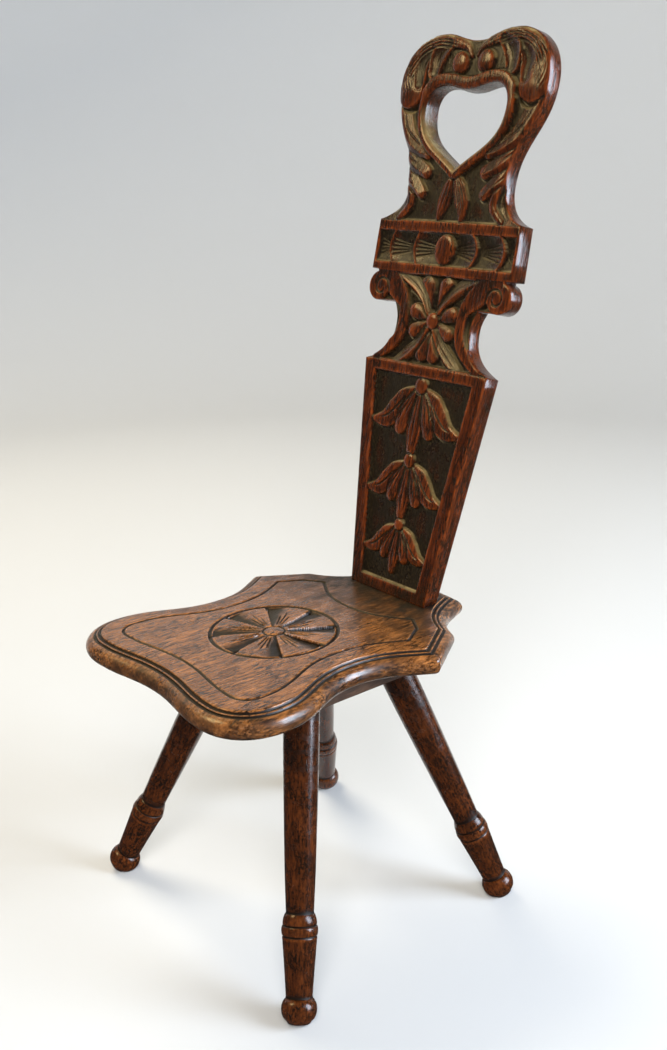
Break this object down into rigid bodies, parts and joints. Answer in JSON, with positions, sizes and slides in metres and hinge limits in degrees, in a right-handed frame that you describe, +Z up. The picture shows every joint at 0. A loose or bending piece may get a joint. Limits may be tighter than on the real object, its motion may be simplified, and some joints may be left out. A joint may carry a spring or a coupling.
{
  "type": "spinning chair",
  "caption": "Low carved oak side chair with a shaped moulded seat, splayed turned legs and a raked plank back pierced by a heart hand-hold, used beside a spinning wheel.",
  "frame": {"origin": "on the floor, under the middle of the chair's bounding box", "axes": "+Z up; the chair faces -Y, so its back leans towards +Y; +X to the right as seen from the front"},
  "size_m": [0.3804, 0.4852, 0.9498],
  "materials": {
    "seat_oak": "waxed oak, worn to a lighter red-brown",
    "dark_oak": "dark stained carved oak, waxed, worn on the raised faces",
    "leg_oak": "dark stained turned oak, waxed",
    "batten_oak": "plain planed oak, unwaxed",
    "wedge_oak": "split oak, unfinished",
    "screw_iron": "darkened iron"
  },
  "bodies": {
    "root": {"seat_board": "seat_oak", "back_board": "dark_oak", "back_wedge_left": "wedge_oak", "back_wedge_right": "wedge_oak", "batten_left": "batten_oak", "batten_right": "batten_oak", "batten_screw_left_1": "screw_iron", "batten_screw_left_2": "screw_iron", "batten_screw_left_3": "screw_iron", "batten_screw_right_1": "screw_iron", "batten_screw_right_2": "screw_iron", "batten_screw_right_3": "screw_iron", "leg_front_left": "leg_oak", "leg_front_right": "leg_oak", "leg_rear_left": "leg_oak", "leg_rear_right": "leg_oak", "leg_wedge_front_left": "wedge_oak", "leg_wedge_front_right": "wedge_oak", "leg_wedge_rear_left": "wedge_oak", "leg_wedge_rear_right": "wedge_oak"}
  },
  "joints": []
}
